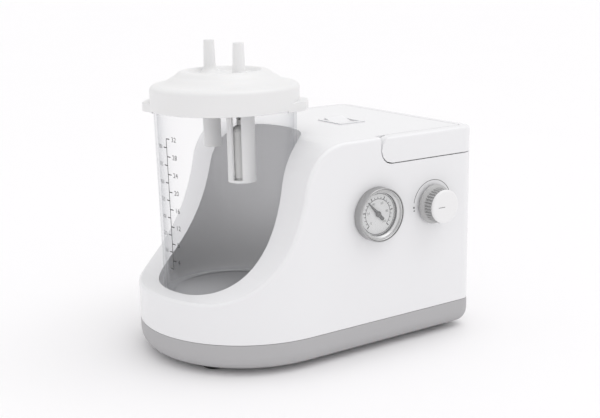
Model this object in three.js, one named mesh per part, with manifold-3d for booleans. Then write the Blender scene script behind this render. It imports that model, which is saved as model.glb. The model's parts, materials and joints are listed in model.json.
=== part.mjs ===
// Portable suction pump: a collection jar standing in the open well of a moulded housing, with a
// vacuum gauge, a regulator knob, a rocker switch and a folding carry handle. A wobble-piston vacuum
// pump with its motor, hoses and valves is mounted inside.
// Millimetres. +Z is up, +X points to the square end, -Y is the front with the gauge and the knob.
// The origin is on the standing surface, under the middle of the object.

import * as THREE from 'three';
import { mergeVertices } from 'three/addons/utils/BufferGeometryUtils.js';
import Module from 'manifold-3d';

const wasm = await Module();
wasm.setup();

// ---------------------------------------------------------------- driving dimensions

const GAP = 0.3; // clearance kept between pieces that touch
const WALL = 2.8; // moulded wall thickness

const LENGTH = 248.8; // housing along X
const WIDTH = 176; // housing along Y
const END_X = LENGTH / 2; // square end
const HALF_W = WIDTH / 2;
const ROUND_X = HALF_W - END_X; // axis of the round end
const CORNER_R = 12; // vertical corners at the square end
const EDGE_R = 2.6; // rounded top and rim edge
const FOOT_H = 3.5; // how far the tray stands above the floor
const SEAM_Z = 25; // seam between tray and housing
const LIP_Z = 54.9; // low lip of the rim
const TOP_Z = 167.5; // top of the housing
const TRAY_FILLET = 11.6;

const JAR_X = -52.9; // axis of the jar and its well
const WELL_R = 57.4;
const WELL_FLOOR = 42;
const JAR_H = 158;
const JAR_R = 54.8; // outer radius at the mouth
const JAR_FOOT_R = 53.2;
const JAR_WALL = 2;

const SKIRT_R = 57.1; // lid
const SKIRT_Z = 188.7;
const LID_WALL = 2.2;
const RECESS_Z = 214.2; // dished middle of the lid
const CAGE_Z = 135; // lower end of the float cage
const BARB_Y = 22.5; // the two hose barbs on the lid
const BARB_TOP = 238.9;

const HANDLE_T = 8; // thickness of the carry handle's strip
const HANDLE_H = 20.2; // height of the strip
const HANDLE_GAP = 0.8; // running gap round the handle
const HANDLE_X = 40; // pivot of the handle
const HANDLE_Z = TOP_Z - HANDLE_H / 2;

const GAUGE_X = 24.3;
const GAUGE_Z = 110.3;
const GAUGE_R = 20.7;
const KNOB_X = 79.8;
const KNOB_Z = 110.2;
const KNOB_OUT = 16; // how far the knob stands out; the rear hose barb stands out as far
const SWITCH_X = 55.6;
const SWITCH_Y = -1;
const SWITCH_LX = 25.5;
const SWITCH_LY = 33;
const ROCKER_DEPTH = 3.5; // the rocker's pivot below the top panel
const ROCKER_TILT = 6; // the rocker tips this far to each side

const MOTOR_X = 66; // pump and motor share this upright plane
const MOTOR_Z = 54;
const MOTOR_R = 30;
const THROW = 1.5; // crank throw of the pump

// ---------------------------------------------------------------- solids

/** A three.js geometry as a solid: vertices welded, slivers on the axis dropped, faces outward. */
function solid(geometry) {
  const bare = geometry.clone();
  bare.deleteAttribute('normal');
  bare.deleteAttribute('uv');
  const welded = mergeVertices(bare, 1e-4);
  const points = welded.attributes.position.array;
  const corners = welded.index.array;
  const triangles = [];
  let volume = 0;
  for (let i = 0; i < corners.length; i += 3) {
    const [a, b, c] = corners.slice(i, i + 3);
    if (a === b || b === c || c === a) continue;
    triangles.push(a, b, c);
    const [p, q, r] = [a, b, c].map((k) => new THREE.Vector3().fromArray(points, k * 3));
    volume += p.dot(q.cross(r));
  }
  if (volume < 0) triangles.reverse();
  const mesh = new wasm.Mesh({
    numProp: 3,
    vertProperties: new Float32Array(points),
    triVerts: new Uint32Array(triangles),
  });
  return new wasm.Manifold(mesh);
}

/** A solid back as a three.js geometry. */
function geometryOf(shape) {
  const { vertProperties, triVerts } = shape.getMesh();
  const geometry = new THREE.BufferGeometry();
  geometry.setAttribute('position', new THREE.BufferAttribute(vertProperties, 3));
  geometry.setIndex(new THREE.BufferAttribute(triVerts, 1));
  geometry.computeVertexNormals();
  return geometry;
}

/** A profile of [radius, height] points, or a path, revolved about +Z. */
function revolve(profile, segments = 48) {
  const points = profile instanceof THREE.Path ? profile.getPoints(4) : profile.map(([r, z]) => new THREE.Vector2(r, z));
  const rising = points.map((p) => new THREE.Vector2(Math.max(p.x, 0), p.y));
  return solid(new THREE.LatheGeometry(rising, segments).rotateX(Math.PI / 2));
}

/** A solid disc or cylinder about +Z. */
function disc(radius, low, high, segments = 32) {
  return revolve([[0, low], [radius, low], [radius, high], [0, high]], segments);
}

/** A ring about +Z. */
function ring(inner, outer, low, high, segments = 32) {
  return revolve([[inner, low], [outer, low], [outer, high], [inner, high], [inner, low]], segments);
}

const flat = { bevelEnabled: false, curveSegments: 3 };

/** A shape drawn in X and Y, extruded upwards. */
function upright(shape, low, high) {
  return solid(new THREE.ExtrudeGeometry(shape, { ...flat, depth: high - low }).translate(0, 0, low));
}

/** A shape drawn in X and Z, extruded along Y. */
function crosswise(shape, near, far) {
  const prism = new THREE.ExtrudeGeometry(shape, { ...flat, depth: far - near });
  return solid(prism.rotateX(Math.PI / 2).translate(0, far, 0));
}

/** A shape drawn in Y and Z, extruded along X. */
function lengthwise(shape, left, right) {
  const prism = new THREE.ExtrudeGeometry(shape, { ...flat, depth: right - left });
  return solid(prism.rotateY(Math.PI / 2).rotateX(Math.PI / 2).translate(left, 0, 0));
}

/** A rectangle with round corners, centred on a point. */
function rounded(width, height, radius, x = 0, y = 0) {
  const [w, h, r] = [width / 2, height / 2, radius];
  const shape = new THREE.Shape();
  shape.moveTo(x - w + r, y - h);
  shape.lineTo(x + w - r, y - h);
  shape.absarc(x + w - r, y - h + r, r, -Math.PI / 2, 0);
  shape.lineTo(x + w, y + h - r);
  shape.absarc(x + w - r, y + h - r, r, 0, Math.PI / 2);
  shape.lineTo(x - w + r, y + h);
  shape.absarc(x - w + r, y + h - r, r, Math.PI / 2, Math.PI);
  shape.lineTo(x - w, y - h + r);
  shape.absarc(x - w + r, y - h + r, r, Math.PI, 1.5 * Math.PI);
  return shape;
}

/** A box between two corners. */
function block(low, high) {
  const size = high.map((v, i) => v - low[i]);
  const middle = high.map((v, i) => (v + low[i]) / 2);
  return solid(new THREE.BoxGeometry(...size).translate(...middle));
}

/** A round rod or hose through a list of points. */
function hose(points, radius, steps = 24) {
  const path = new THREE.CatmullRomCurve3(points.map((p) => new THREE.Vector3(...p)), false, 'centripetal');
  const section = new THREE.Shape().absarc(0, 0, radius, 0, 2 * Math.PI);
  const options = { steps, curveSegments: 5, bevelEnabled: false, extrudePath: path };
  return solid(new THREE.ExtrudeGeometry(section, options));
}

/** A cylinder along Y between two places. */
function rod(radius, x, z, near, far, segments = 28) {
  return toRear(disc(radius, near, far, segments)).translate([x, 0, z]);
}

/** The solid turned so that its own +Z axis points out of the front, the rear or the square end. */
const toFront = (shape) => shape.rotate([90, 0, 0]);
const toRear = (shape) => shape.rotate([-90, 0, 0]);

// ---------------------------------------------------------------- the plan and the rim

/** The housing's outline seen from above, pulled in by an inset, as one ring at a height. */
function planRing(inset, z) {
  const ring = [];
  const arc = (x, y, radius, from, to, steps) => {
    for (let i = 0; i <= steps; i++) {
      const angle = THREE.MathUtils.degToRad(from + ((to - from) * i) / steps);
      ring.push(new THREE.Vector3(x + radius * Math.cos(angle), y + radius * Math.sin(angle), z));
    }
  };
  const corner = Math.max(CORNER_R - inset, 0.3);
  const [x, y] = [END_X - inset - corner, HALF_W - inset - corner];
  arc(ROUND_X, 0, HALF_W - inset, 90, 270, 36);
  arc(x, -y, corner, -90, 0, 4);
  arc(x, y, corner, 0, 90, 4);
  return ring;
}

/** A closed solid through a stack of rings with equal counts; its two ends are flat. */
function lofted(rings) {
  const count = rings[0].length;
  const index = [];
  const at = (level, i) => level * count + (i % count);
  for (let level = 0; level + 1 < rings.length; level++) {
    for (let i = 0; i < count; i++) {
      index.push(at(level, i), at(level, i + 1), at(level + 1, i + 1));
      index.push(at(level, i), at(level + 1, i + 1), at(level + 1, i));
    }
  }
  for (let i = 1; i + 1 < count; i++) {
    index.push(at(0, 0), at(0, i + 1), at(0, i));
    index.push(at(rings.length - 1, 0), at(rings.length - 1, i), at(rings.length - 1, i + 1));
  }
  const geometry = new THREE.BufferGeometry().setFromPoints(rings.flat());
  geometry.setIndex(index);
  return solid(geometry);
}

const planBlock = (inset, low, high) => lofted([planRing(inset, low), planRing(inset, high)]);

// The rim seen from the front: a flat lip round the jar, a steep rise, then the flat top.
const rim = new THREE.Path();
rim.moveTo(-END_X - CORNER_R, LIP_Z);
rim.lineTo(-105.7, LIP_Z);
rim.bezierCurveTo(-104.8, LIP_Z, -52.2, 58.9, -37.9, 137);
rim.bezierCurveTo(-36.4, 144.9, -28.6, TOP_Z, -0.9, TOP_Z);
rim.lineTo(END_X + CORNER_R, TOP_Z);

/**
 * Stations along the rounded edge of the housing, from the tip of the round end to the square end.
 * Each holds the centre of the edge's arc, and the outward directions of the wall and of the rim.
 */
function edgeStations(depth, spacing, cornerSteps) {
  const stations = [];
  const roundR = HALF_W - depth;
  const cornerX = END_X - CORNER_R;
  const fine = 300;
  const add = (x, y, z, wall, cap) => stations.push({ centre: new THREE.Vector3(x, y, z), wall, cap });
  const up = new THREE.Vector3(0, 0, 1);
  add(ROUND_X - roundR, 0, LIP_Z - depth, new THREE.Vector3(-1, 0, 0), up);
  for (const curve of rim.curves) {
    for (let i = 0; i <= fine; i++) {
      const point = curve.getPoint(i / fine);
      const along = curve.getTangent(i / fine);
      const cap = new THREE.Vector3(-along.y, 0, along.x);
      const x = point.x - depth * cap.x;
      const z = point.y - depth * cap.z;
      if (x < ROUND_X - roundR || x > cornerX) continue;
      const reach = Math.min(0, x - ROUND_X);
      const y = -Math.sqrt(roundR ** 2 - reach ** 2);
      const last = stations.at(-1);
      const straight = reach === 0 && last.cap.distanceTo(cap) < 1e-6;
      if (straight || last.centre.distanceTo(new THREE.Vector3(x, y, z)) < spacing) continue;
      add(x, y, z, new THREE.Vector3(reach, y, 0).normalize(), cap);
    }
  }
  const corner = Math.max(CORNER_R - depth, 0.3);
  for (let i = 0; i <= cornerSteps; i++) {
    const angle = ((i / cornerSteps - 1) * Math.PI) / 2;
    const wall = new THREE.Vector3(Math.cos(angle), Math.sin(angle), 0);
    const x = END_X - depth - corner + corner * wall.x;
    add(x, -(HALF_W - depth - corner) + corner * wall.y, TOP_Z - depth, wall, up);
  }
  return stations;
}

/**
 * The housing's form: upright walls on the plan, cut off by the rim that runs straight across, with a
 * rounded edge rolled along the 3-D curve where the two meet. An inset gives the inside of the wall.
 */
function bodyForm(inset, edge, floor, { spacing, cornerSteps, arcSteps }) {
  const half = edgeStations(inset + edge, spacing, cornerSteps);
  const mirror = (v) => new THREE.Vector3(v.x, -v.y, v.z);
  const other = half.slice(1).reverse();
  const loop = [...half, ...other.map((s) => ({ centre: mirror(s.centre), wall: mirror(s.wall), cap: s.cap }))];
  const rows = arcSteps + 2;
  const points = [];
  for (const { centre, wall, cap } of loop) {
    const foot = centre.clone().addScaledVector(wall, edge).setZ(floor);
    points.push(foot);
    for (let i = 0; i <= arcSteps; i++) {
      const outward = wall.clone().lerp(cap, i / arcSteps).normalize();
      points.push(centre.clone().addScaledVector(outward, edge));
    }
  }
  const count = loop.length;
  const at = (station, row) => (station % count) * rows + row;
  const index = [];
  const quad = (a, b, c, d) => index.push(a, b, c, a, c, d);
  for (let s = 0; s < count; s++) {
    for (let row = 0; row + 1 < rows; row++) {
      quad(at(s, row), at(s + 1, row), at(s + 1, row + 1), at(s, row + 1));
    }
  }
  for (let s = 0; s + 1 < half.length; s++) {
    const pair = [s, s + 1, count - s - 1, count - s];
    quad(...pair.map((k) => at(k, rows - 1)));
    quad(...pair.reverse().map((k) => at(k, 0)));
  }
  const geometry = new THREE.BufferGeometry().setFromPoints(points);
  geometry.setIndex(index);
  return solid(geometry);
}

// ---------------------------------------------------------------- the scene

const pump = new THREE.Group();

/** One finish of the object as a three.js material. */
function finish(color, roughness, extra = {}) {
  return new THREE.MeshStandardMaterial({ color, roughness, ...extra });
}

const finishes = {
  housing: () => finish(0xf1f0f2, 0.42),
  tray: () => finish(0xb9b8bb, 0.5),
  rubber: () => finish(0x2c2c2e, 0.85),
  clear: () => finish(0xe6eaec, 0.08, { transparent: true, opacity: 0.3 }),
  lid: () => finish(0xf3f3f4, 0.4),
  silicone: () => finish(0xd8d8d6, 0.7),
  grey: () => finish(0x8d8d90, 0.5),
  chrome: () => finish(0xc9c9cb, 0.22, { metalness: 1 }),
  dial: () => finish(0xe3e3e3, 0.6),
  black: () => finish(0x18181a, 0.5),
  steel: () => finish(0x9c9ea1, 0.38, { metalness: 1 }),
  aluminium: () => finish(0xb4b6b9, 0.45, { metalness: 1 }),
  brass: () => finish(0xb08d4a, 0.35, { metalness: 1 }),
};

/** Adds one named piece to a group. */
function piece(name, shape, look, group = pump) {
  const mesh = new THREE.Mesh(geometryOf(shape), finishes[look]());
  mesh.name = name;
  group.add(mesh);
  return mesh;
}

/** A group whose +Z axis points out of the front face at X and Z. */
function frontGroup(x, z) {
  const group = new THREE.Group();
  group.position.set(x, -HALF_W, z);
  group.rotation.x = Math.PI / 2;
  pump.add(group);
  return group;
}

const canister = new THREE.Group();
canister.position.set(JAR_X, 0, 0);
pump.add(canister);

// ---------------------------------------------------------------- carry handle

/** The slot that the handle folds into, grown by a clearance or a wall. */
function handleSlot(grow) {
  const r = HANDLE_H / 2 + grow;
  const shape = new THREE.Shape();
  shape.moveTo(END_X + CORNER_R, HANDLE_Z - r);
  shape.lineTo(END_X + CORNER_R, TOP_Z + CORNER_R);
  shape.lineTo(HANDLE_X - r, TOP_Z + CORNER_R);
  shape.lineTo(HANDLE_X - r, HANDLE_Z);
  shape.absarc(HANDLE_X, HANDLE_Z, r, Math.PI, 1.5 * Math.PI);
  const across = crosswise(shape, -WIDTH, WIDTH);
  return across.subtract(planBlock(HANDLE_T + grow, 0, 2 * TOP_Z));
}

/** The strip seen from the front: round at the pivot end. */
function handleStrip() {
  const r = HANDLE_H / 2;
  const shape = new THREE.Shape();
  shape.moveTo(END_X + CORNER_R, HANDLE_Z - r);
  shape.lineTo(END_X + CORNER_R, TOP_Z);
  shape.lineTo(HANDLE_X, TOP_Z);
  shape.absarc(HANDLE_X, HANDLE_Z, r, Math.PI / 2, 1.5 * Math.PI);
  return crosswise(shape, -WIDTH, WIDTH);
}

const PIN_R = 3;
const outerForm = bodyForm(0, EDGE_R, SEAM_Z, { spacing: 6, cornerSteps: 5, arcSteps: 3 });
const pinReach = HALF_W - HANDLE_T / 2;
const pinHole = rod(PIN_R + GAP, HANDLE_X, HANDLE_Z, -pinReach, pinReach, 20);
const handle = outerForm
  .intersect(handleStrip().subtract(planBlock(HANDLE_T, 0, 2 * TOP_Z)))
  .subtract(pinHole);
piece('carry_handle', handle, 'housing');

for (const [name, side] of [['handle_pin_front', -1], ['handle_pin_rear', 1]]) {
  const pin = disc(PIN_R, 0, HANDLE_T + 2.6, 20);
  const start = HALF_W - HANDLE_T / 2 - GAP;
  const placed = side < 0 ? toRear(pin) : toFront(pin);
  piece(name, placed.translate([HANDLE_X, side * start, HANDLE_Z]), 'steel');
}

// ---------------------------------------------------------------- upper housing

/** The finger scoop in the square end, under the handle. */
function scoop(grow) {
  return rod(16 + grow, END_X + 5, HANDLE_Z - HANDLE_H / 2 - 9, -42 - grow, 42 + grow, 32);
}

/** Louvres in the square end, which let the fan's air out. */
function louvres() {
  const slots = [];
  for (let row = 0; row < 6; row++) {
    const slot = rounded(70, 3.2, 1.5, 0, 46 + row * 7.5);
    slots.push(lengthwise(slot, END_X - 2 * WALL, END_X + WALL));
  }
  return slots;
}

function upperHousing() {
  const at = (shape, x, y, z) => shape.translate([x, y, z]);
  const wellCup = at(disc(WELL_R + WALL, WELL_FLOOR - WALL, 2 * TOP_Z, 40), JAR_X, 0, 0);
  const wellBore = at(disc(WELL_R, WELL_FLOOR, 2 * TOP_Z, 60), JAR_X, 0, 0);
  const inside = bodyForm(WALL, 0.6, SEAM_Z - 1, { spacing: 14, cornerSteps: 2, arcSteps: 1 })
    .subtract(wellCup)
    .subtract(handleSlot(HANDLE_GAP + WALL))
    .subtract(scoop(WALL));
  const openings = [
    at(toFront(disc(18.6, -2 * WALL, WALL, 40)), GAUGE_X, -HALF_W, GAUGE_Z),
    at(toFront(disc(5.3, -2 * WALL, WALL, 24)), KNOB_X, -HALF_W, KNOB_Z),
    at(toRear(disc(6.3, -2 * WALL, WALL, 24)), NIPPLE_X, HALF_W, NIPPLE_Z),
    crosswise(rounded(INLET_W + 2 * GAP, INLET_H + 2 * GAP, 2, INLET_X, INLET_Z), HALF_W - 2 * WALL, HALF_W + WALL),
    rod(FUSE_R + GAP, FUSE_X, FUSE_Z, HALF_W - 2 * WALL, HALF_W + WALL, 24),
    upright(rounded(SWITCH_LX - 3, SWITCH_LY - 3, 1.5, SWITCH_X, SWITCH_Y), TOP_Z - 2 * WALL, TOP_Z + WALL),
    upright(rounded(SWITCH_LX + 0.6, SWITCH_LY + 0.6, 2, SWITCH_X, SWITCH_Y), TOP_Z - 1.2, TOP_Z + WALL),
    ...louvres(),
  ];
  let shell = outerForm.subtract(inside).subtract(wellBore).subtract(handleSlot(HANDLE_GAP));
  shell = shell.subtract(scoop(0)).subtract(pinHole);
  for (const opening of openings) shell = shell.subtract(opening);
  return shell;
}

// ---------------------------------------------------------------- rear fittings

const NIPPLE_X = 14;
const NIPPLE_Z = 118;
const INLET_X = 90;
const INLET_Z = 104;
const INLET_W = 27.4; // panel cut-out of a standard appliance inlet
const INLET_H = 20;
const FUSE_X = 60;
const FUSE_Z = 104;
const FUSE_R = 6.2;

piece('upper_housing', upperHousing(), 'housing');

/** A barbed hose tail about +Z with its collar at zero. */
function hoseTail(radius, length, bore, collar, behind) {
  const third = length / 4;
  return revolve([
    [bore, -behind], [collar - 2.4, -behind], [collar - 2.4, GAP], [collar, GAP], [collar, 2],
    [radius, 2.4], [radius, third + 1], [radius + 0.8, third + 1.4], [radius, 2 * third + 1],
    [radius + 0.8, 2 * third + 1.4], [radius, 3 * third + 1], [radius + 0.8, 3 * third + 1.4],
    [radius - 0.7, length], [bore, length], [bore, -behind],
  ], 16);
}

const nipple = toRear(hoseTail(3.6, KNOB_OUT, 1.8, 8.2, 12));
piece('vacuum_nipple', nipple.translate([NIPPLE_X, HALF_W, NIPPLE_Z]), 'grey');

/** The appliance inlet: a shrouded socket with three flat pins. */
function powerInlet() {
  const flange = crosswise(rounded(INLET_W + 5, INLET_H + 5, 2.5, INLET_X, INLET_Z), HALF_W + GAP, HALF_W + 2.4);
  const box = crosswise(rounded(INLET_W, INLET_H, 1.6, INLET_X, INLET_Z), HALF_W - 20, HALF_W + 1);
  const socket = crosswise(rounded(24.2, 16.6, 3.4, INLET_X, INLET_Z), HALF_W - 17, HALF_W + 4);
  let inlet = flange.add(box).subtract(socket);
  for (const [dx, dz] of [[-7, -1.8], [0, 2.2], [7, -1.8]]) {
    const [x, z] = [INLET_X + dx, INLET_Z + dz];
    inlet = inlet.add(block([x - 1, HALF_W - 27, z - 2], [x + 1, HALF_W - 3, z + 2]));
  }
  return inlet;
}

piece('power_inlet', powerInlet(), 'black');

const fuse = revolve([
  [0, -24], [FUSE_R - 0.6, -24], [FUSE_R - 0.6, GAP], [FUSE_R + 1.8, GAP], [FUSE_R + 1.8, 1.8],
  [FUSE_R, 2.4], [FUSE_R - 0.4, 6], [FUSE_R - 1, 6.6], [0, 6.6],
], 24).subtract(block([-4.5, -0.6, 5.4], [4.5, 0.6, 8]));
piece('fuse_holder', toRear(fuse).translate([FUSE_X, HALF_W, FUSE_Z]), 'black');

// ---------------------------------------------------------------- base tray and feet

const TRAY_TOP = SEAM_Z - 0.4;
const feetAt = [[-92, -38], [-92, 38], [100, -64], [100, 64]];
const bossesAt = [[-36, -78], [-36, 78], [104, -50], [104, 50]];

/** The tray's outside or inside: a rounded bottom edge under upright walls. */
function trayForm(inset, low, high, steps) {
  const radius = TRAY_FILLET - inset;
  const rings = [];
  for (let i = 0; i <= steps; i++) {
    const angle = (i / steps) * (Math.PI / 2);
    rings.push(planRing(inset + radius * (1 - Math.sin(angle)), low + radius * (1 - Math.cos(angle))));
  }
  rings.push(planRing(inset, high));
  return lofted(rings);
}

function baseTray() {
  let tray = trayForm(0, FOOT_H, TRAY_TOP, 5).subtract(trayForm(2.6, FOOT_H + 2.6, TRAY_TOP + 1, 2));
  for (const [x, y] of feetAt) {
    tray = tray.subtract(disc(9.3, 0, FOOT_H + 1.2, 28).translate([x, y, 0]));
  }
  return tray;
}

piece('base_tray', baseTray(), 'tray');

feetAt.forEach(([x, y], i) => {
  const foot = revolve([
    [0, 0], [7.6, 0], [8.6, 0.8], [9, 2.4], [9, FOOT_H + 0.9], [0, FOOT_H + 0.9],
  ], 28);
  piece(`foot_${i + 1}`, foot, 'rubber').position.set(x, y, 0);
});

// ---------------------------------------------------------------- collection jar

/** The jar: a clear tapered cup with a rounded heel and a raised bottom. */
function jar() {
  const [low, high] = [WELL_FLOOR + 0.6, WELL_FLOOR + 0.6 + JAR_H];
  const heel = 6;
  const profile = new THREE.Path();
  profile.moveTo(0, low + 2);
  profile.lineTo(JAR_FOOT_R - heel - 3, low + 2);
  profile.lineTo(JAR_FOOT_R - heel, low);
  profile.bezierCurveTo(JAR_FOOT_R - 2, low, JAR_FOOT_R, low + 2, JAR_FOOT_R, low + heel);
  profile.lineTo(JAR_R, high);
  profile.lineTo(JAR_R - JAR_WALL, high);
  profile.lineTo(JAR_FOOT_R - JAR_WALL, low + heel);
  profile.bezierCurveTo(JAR_FOOT_R - JAR_WALL, low + 4, JAR_FOOT_R - 4, low + 4, JAR_FOOT_R - heel - 2, low + 4);
  profile.lineTo(0, low + 4);
  return revolve(profile, 48);
}

piece('collection_jar', jar(), 'clear', canister);

// ---------------------------------------------------------------- lid with its valve

/** The lid's section: skirt, shoulder, cone, raised rim and the dished middle, then its inside. */
function lidSection() {
  const inner = SKIRT_R - LID_WALL;
  const path = new THREE.Path();
  path.moveTo(inner, SKIRT_Z);
  path.lineTo(SKIRT_R, SKIRT_Z);
  path.lineTo(SKIRT_R, SKIRT_Z + 14.9);
  path.bezierCurveTo(SKIRT_R, 206.4, 54.6, 207.6, 51, 208);
  path.bezierCurveTo(44, 208.9, 42.5, 211.6, 39.4, 213);
  path.bezierCurveTo(36.5, 214.3, 35, 217.5, 31, 217.5);
  path.lineTo(28.5, 217.5);
  path.lineTo(26.6, RECESS_Z + 1);
  path.lineTo(25.6, RECESS_Z);
  path.lineTo(0, RECESS_Z);
  path.lineTo(0, RECESS_Z - LID_WALL);
  path.lineTo(27, RECESS_Z - LID_WALL);
  path.lineTo(30, 215.2);
  path.lineTo(33, 214.4);
  path.lineTo(38, 210.8);
  path.lineTo(50, 205.7);
  path.lineTo(inner, 203.6);
  path.lineTo(inner, SKIRT_Z);
  return path;
}

/** A lifting ear on the skirt. */
function ear(turn) {
  const shape = new THREE.Shape();
  shape.moveTo(54, -15);
  shape.lineTo(56.4, -15);
  shape.bezierCurveTo(58.5, -9, 63.2, -8.5, 63.2, -5);
  shape.lineTo(63.2, 5);
  shape.bezierCurveTo(63.2, 8.5, 58.5, 9, 56.4, 15);
  shape.lineTo(54, 15);
  return upright(shape, SKIRT_Z - 2, SKIRT_Z + 5).rotate([0, 0, turn]);
}

/** A hose barb on the lid with a flared root and a through bore. */
function lidBarb(root) {
  return revolve([
    [0, root - 1], [7.6, root - 1], [6.2, root + 0.6], [5, root + 2.4], [4.6, root + 5],
    [4.4, BARB_TOP - 8.6], [4.9, BARB_TOP - 8], [3.9, BARB_TOP - 1], [3.4, BARB_TOP], [0, BARB_TOP],
  ], 24);
}


function lid() {
  let shape = revolve(lidSection(), 48);
  const bore = disc(1.9, CAGE_Z, BARB_TOP + 1, 12);
  const keep = revolve([
    [0, SKIRT_Z - 3], [SKIRT_R - LID_WALL, SKIRT_Z - 3], [SKIRT_R - LID_WALL, SKIRT_Z + 14], [0, SKIRT_Z + 14],
  ], 48);
  for (const turn of [140, -40]) shape = shape.add(ear(turn).subtract(keep));
  for (const side of [-1, 1]) shape = shape.add(lidBarb(RECESS_Z).translate([0, side * BARB_Y, 0]));
  shape = shape.add(disc(9, 203, RECESS_Z - 1, 24).translate([0, -BARB_Y, 0]));
  shape = shape.add(disc(7, 156, RECESS_Z - 1, 24).translate([0, BARB_Y, 0]));
  for (const side of [-1, 1]) shape = shape.subtract(bore.translate([0, side * BARB_Y, 0]));
  return shape;
}

piece('jar_lid', lid(), 'lid', canister);

const gasket = ring(JAR_R - 4.6, SKIRT_R - LID_WALL - GAP, 200.9, 202.3, 48);
piece('lid_gasket', gasket, 'silicone', canister);

/** The float cage: a tube with tall windows, open below but for a ring of ledges. */
function floatCage() {
  const [inner, outer] = [8.7, 10.75];
  const cap = disc(outer, 200, 202.7, 32).subtract(disc(1.9, 199, 204, 12));
  let cage = ring(inner, outer, CAGE_Z, 201, 32).add(cap);
  for (const turn of [0, 90, 180, 270]) {
    const window = block([-3, 0, CAGE_Z - 1], [3, outer + 2, 178]);
    cage = cage.subtract(window.rotate([0, 0, turn + 20]));
  }
  return cage.add(ring(6.4, outer, CAGE_Z, CAGE_Z + 2, 32));
}

piece('float_cage', floatCage().translate([0, -BARB_Y, 0]), 'lid', canister);

const float = revolve([
  [0, CAGE_Z + 2.3], [6.8, CAGE_Z + 2.3], [7.8, CAGE_Z + 3.3], [7.8, CAGE_Z + 38], [6, CAGE_Z + 41],
  [2.6, CAGE_Z + 43], [2.6, CAGE_Z + 47], [0, CAGE_Z + 48],
], 28);
piece('shutoff_float', float.translate([0, -BARB_Y, 0]), 'silicone', canister);

// ---------------------------------------------------------------- vacuum gauge

const gauge = frontGroup(GAUGE_X, GAUGE_Z);
const DIAL_R = 16.4;

const gaugeCase = revolve([
  [0, -22], [18.2, -22], [18.2, 2.2], [16.9, 2.2], [16.9, -1], [0, -1],
], 40).add(hoseTail(2.6, 12, 1.2, 5, 1).rotate([180, 0, 0]).translate([0, 0, -21.8]));
piece('gauge_case', gaugeCase, 'black', gauge);

const gaugeBezel = new THREE.Path();
gaugeBezel.moveTo(18.5, GAP);
gaugeBezel.lineTo(GAUGE_R, GAP);
gaugeBezel.lineTo(GAUGE_R, 6);
gaugeBezel.bezierCurveTo(GAUGE_R, 7.4, 20.2, 8, 19, 8);
gaugeBezel.bezierCurveTo(18, 8, 17.6, 7.2, 17, 6.4);
gaugeBezel.lineTo(16, 6.4);
gaugeBezel.lineTo(16, 5.8);
gaugeBezel.lineTo(18.5, 5.8);
gaugeBezel.lineTo(18.5, GAP);
piece('gauge_bezel', revolve(gaugeBezel, 36), 'chrome', gauge);

const dialPost = disc(0.9, 2, 3.9, 12);
piece('gauge_dial', disc(DIAL_R, 1, 2, 48).add(dialPost), 'dial', gauge);
piece('gauge_lens', disc(18.2, 4.4, 5.5, 48), 'clear', gauge);

/** The needle: a tapered blade with a round hub and a short tail. */
function needle() {
  const shape = new THREE.Shape();
  shape.moveTo(13.6, 0);
  shape.lineTo(2, 1);
  shape.absarc(0, 0, 2.4, Math.PI / 7, Math.PI - Math.PI / 7);
  shape.lineTo(-6.4, 1.3);
  shape.absarc(-6.4, 0, 1.3, Math.PI / 2, 1.5 * Math.PI);
  shape.absarc(0, 0, 2.4, Math.PI + Math.PI / 7, 2 * Math.PI - Math.PI / 7);
  return upright(shape, 2.5, 3.2).subtract(disc(1.2, 0, 5, 12));
}

const NEEDLE_ANGLE = 133.5;
piece('gauge_needle', needle(), 'black', gauge).rotation.z = THREE.MathUtils.degToRad(NEEDLE_ANGLE);

// ---------------------------------------------------------------- vacuum regulator

const regulator = frontGroup(KNOB_X, KNOB_Z);

/** The valve body behind the wall, with its threaded neck through the wall and two hose stubs. */
function regulatorValve() {
  const body = disc(10, -38, -WALL - GAP, 28).add(disc(5, -6, 1.4, 24));
  const stub = disc(3, 0, 18, 16);
  const side = stub.rotate([0, -90, 0]).translate([0, 0, -16]);
  const below = stub.rotate([90, 0, 0]).translate([0, 0, -30]);
  return body.add(side).add(below).subtract(disc(3.2, -20, 3, 20));
}

piece('regulator_valve', regulatorValve(), 'brass', regulator);
piece('regulator_spindle', disc(2.9, -18, 11, 20), 'steel', regulator);

/** The knob: a smooth flared foot and a ribbed grip. */
function knob() {
  const core = revolve([
    [0, 1.8], [15.2, 1.8], [15.6, 2.4], [15.6, 3.6], [14.8, 5], [13.3, 5.8], [13, 6.4],
    [12.7, 13.2], [0, 13.2],
  ], 36);
  let grip = core;
  for (let i = 0; i < 24; i++) {
    const rib = block([12, -0.5, 5.6], [13.7, 0.5, 13.2]);
    grip = grip.add(rib.rotate([0, 0, (i * 360) / 24]));
  }
  return grip.subtract(disc(2.9 + GAP, 0, 11.6, 20)).subtract(ring(6, 11, 0, 10, 32));
}

piece('regulator_knob', knob(), 'grey', regulator);
const knobCap = revolve([
  [0, 13.5], [12.9, 13.5], [13.2, 14.2], [12.8, 15.4], [11.6, KNOB_OUT], [0, KNOB_OUT],
], 48).subtract(block([-3.4, -0.35, KNOB_OUT - 0.4], [3.4, 0.35, KNOB_OUT + 1]));
piece('knob_cap', knobCap, 'housing', regulator);

// ---------------------------------------------------------------- power switch

/** The switch's frame with its body below the top panel. */
function switchFrame() {
  const [x, y] = [SWITCH_X, SWITCH_Y];
  const flange = upright(rounded(SWITCH_LX, SWITCH_LY, 1.8, x, y), TOP_Z - 0.9, TOP_Z + 0.8);
  const box = upright(rounded(SWITCH_LX - 3.8, SWITCH_LY - 3.8, 1.2, x, y), TOP_Z - 26, TOP_Z);
  const well = upright(rounded(SWITCH_LX - 6.5, SWITCH_LY - 6.5, 0.8, x, y), TOP_Z - 12, TOP_Z + 2);
  return flange.add(box).subtract(well);
}

piece('switch_frame', switchFrame(), 'housing');

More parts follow.
